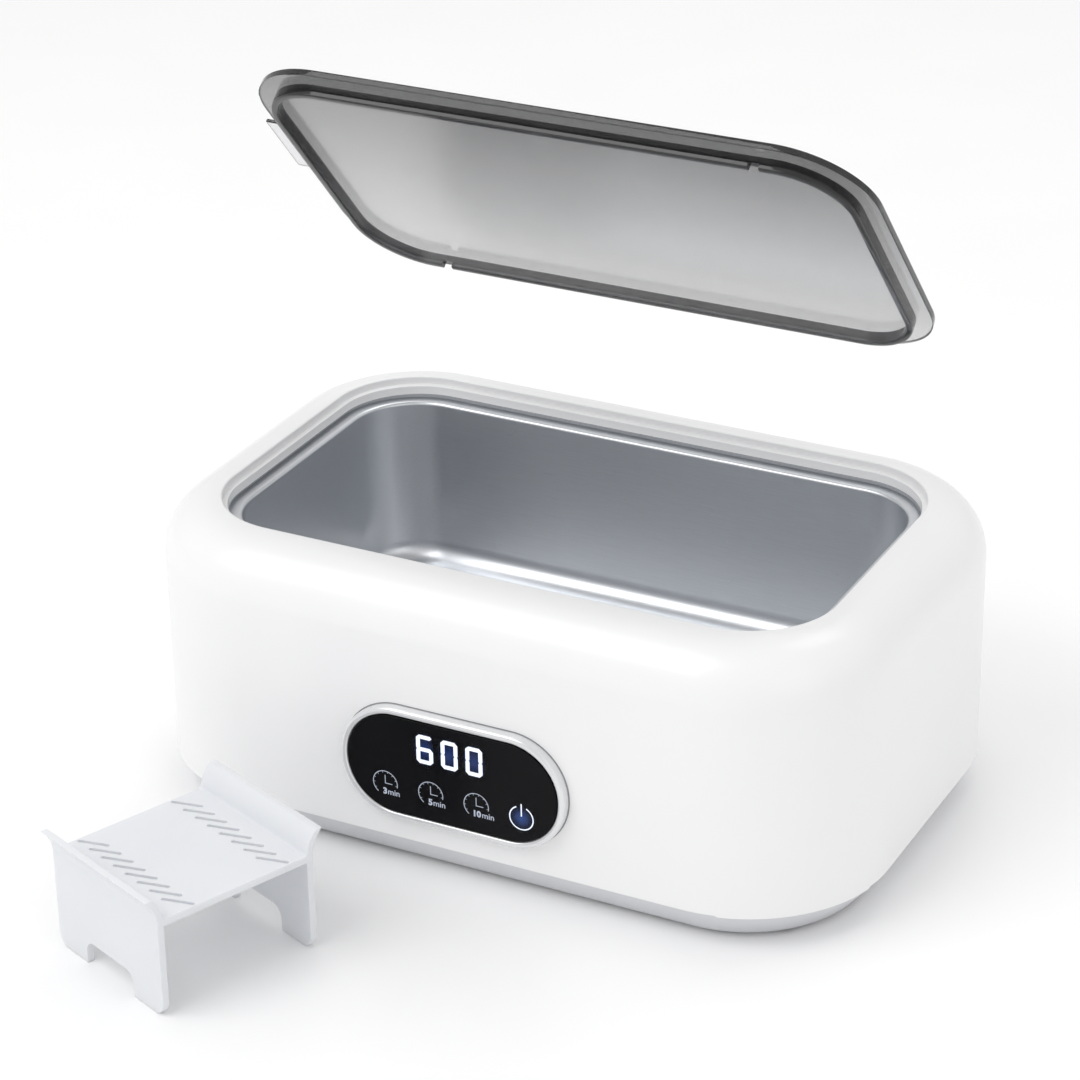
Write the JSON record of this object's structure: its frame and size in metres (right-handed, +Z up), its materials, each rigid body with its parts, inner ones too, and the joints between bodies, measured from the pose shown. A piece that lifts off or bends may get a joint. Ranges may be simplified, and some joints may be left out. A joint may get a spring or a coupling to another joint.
{
  "type": "ultrasonic cleaner",
  "caption": "Small countertop ultrasonic cleaner: rounded white housing, stainless tank, pill-shaped touch panel, loose smoke lid held open above it, and a slotted watch stand beside it.",
  "frame": {"origin": "plan centre of the housing, on the plane that its feet stand on", "axes": "+X along the long front to the right, +Y from the front to the back, +Z up"},
  "size_m": [0.21, 0.2296, 0.2008],
  "materials": {
    "white_abs": "moulded ABS, semi-gloss white",
    "grey_abs": "moulded ABS, light grey",
    "foot_rubber": "matt black rubber",
    "zinc_steel": "zinc-plated steel",
    "stainless": "satin stainless sheet",
    "silicone": "dark silicone",
    "bezel_metal": "satin silver",
    "black_lens": "polished black acrylic",
    "black_plastic": "black moulded plastic",
    "board_green": "solder-masked board",
    "plate_aluminium": "turned aluminium",
    "piezo_ceramic": "silvered piezo ceramic",
    "ferrite": "ferrite and tape",
    "copper": "enamelled copper wire",
    "lead_pvc": "PVC-insulated lead",
    "smoke_lid": "polished smoke-grey polycarbonate",
    "frosted_stand": "translucent white plastic"
  },
  "bodies": {
    "cleaner": {"housing_shell": "white_abs", "base_tray": "grey_abs", "rubber_feet": "foot_rubber", "base_screws": "zinc_steel", "tank": "stainless", "tank_seal": "silicone", "tank_clamps": "zinc_steel", "tank_clamp_screws": "zinc_steel", "front_bezel": "bezel_metal", "panel_lens": "black_lens", "display_module": "black_plastic", "key_pads": "silicone", "panel_board": "board_green", "panel_board_screws": "zinc_steel", "transducer_plate": "plate_aluminium", "transducer_disc": "piezo_ceramic", "driver_board": "board_green", "driver_board_screws": "zinc_steel", "driver_transformer": "ferrite", "driver_inductor": "copper", "driver_capacitors": "black_plastic", "heat_sink": "plate_aluminium", "driver_transistors": "black_plastic", "power_inlet": "black_plastic", "power_leads": "lead_pvc", "transducer_leads": "lead_pvc", "panel_cable": "lead_pvc"},
    "lid": {"lid_cover": "smoke_lid"},
    "stand": {"watch_stand": "frosted_stand"}
  },
  "joints": [
    {"name": "lid_swing", "type": "hinge", "parent": "cleaner", "child": "lid", "pos_m": [0, 0.0942, 0.1064], "axis": [-1, 0, 0], "range_deg": [-48.5, 30]},
    {"name": "stand_lift", "type": "slide", "parent": "cleaner", "child": "stand", "axis": [0, 0, 1], "range_m": [0, 0.1]}
  ]
}
